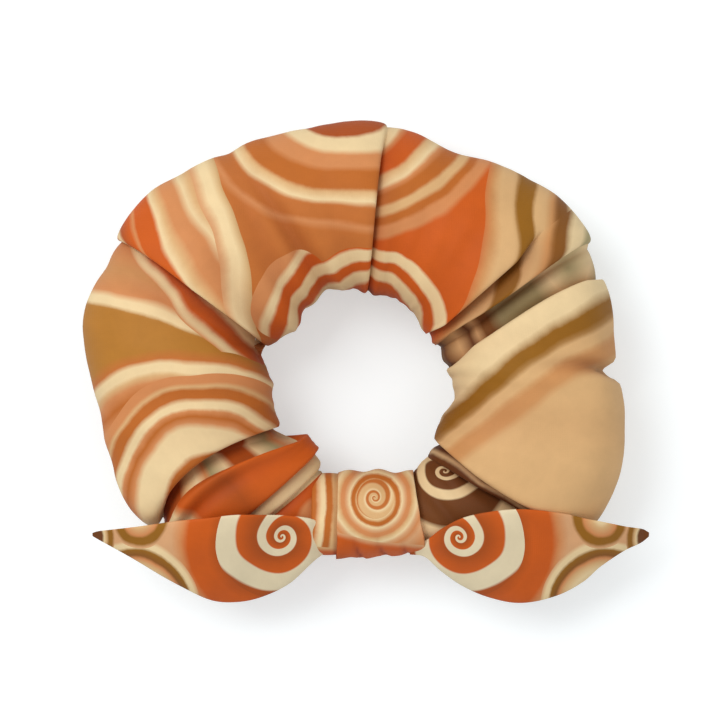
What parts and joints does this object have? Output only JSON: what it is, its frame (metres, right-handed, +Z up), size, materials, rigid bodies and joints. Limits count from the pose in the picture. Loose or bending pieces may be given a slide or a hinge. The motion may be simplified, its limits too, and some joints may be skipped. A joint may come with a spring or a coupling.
{
  "type": "bow scrunchie",
  "caption": "Puffed cloth hair tie: a gathered fabric ring over an elastic loop, with a tie strip knotted round it and two pointed bow tails.",
  "frame": {"origin": "middle of the hair opening, on the table", "axes": "+Z up out of the hair opening, +Y from the knot towards the far side of the ring, +X to the right seen from above with the knot towards the viewer"},
  "size_m": [0.1194, 0.1013, 0.0298],
  "materials": {
    "casing_cloth": "printed woven cloth with a soft sheen",
    "tie_cloth": "printed woven cloth with a soft sheen",
    "elastic": "matte braided elastic",
    "thread": "matte sewing thread"
  },
  "bodies": {
    "ring": {"casing": "casing_cloth", "long_seam_thread": "thread", "closing_seam_thread": "thread", "elastic": "elastic", "elastic_join_thread": "thread"},
    "bow": {"knot_wrap": "tie_cloth", "knot_first_turn": "tie_cloth"},
    "left_tail": {"tail_left": "tie_cloth", "tail_left_seam_thread": "thread"},
    "right_tail": {"tail_right": "tie_cloth", "tail_right_seam_thread": "thread"}
  },
  "joints": [
    {"name": "stretch", "type": "slide", "parent": "ring", "child": "bow", "axis": [0, -1, 0], "range_m": [0, 0.04], "stiffness_N_per_m": 50, "deforming": ["casing", "elastic", "long_seam_thread"]},
    {"name": "left_tail_lift", "type": "hinge", "parent": "bow", "child": "left_tail", "pos_m": [-0.01225, -0.0315, 0.0198], "axis": [0, 0.829, 0.5592], "range_deg": [0, 60]},
    {"name": "right_tail_lift", "type": "hinge", "parent": "bow", "child": "right_tail", "pos_m": [0.01345, -0.0315, 0.0198], "axis": [0, -0.829, -0.5592], "range_deg": [0, 60]}
  ]
}
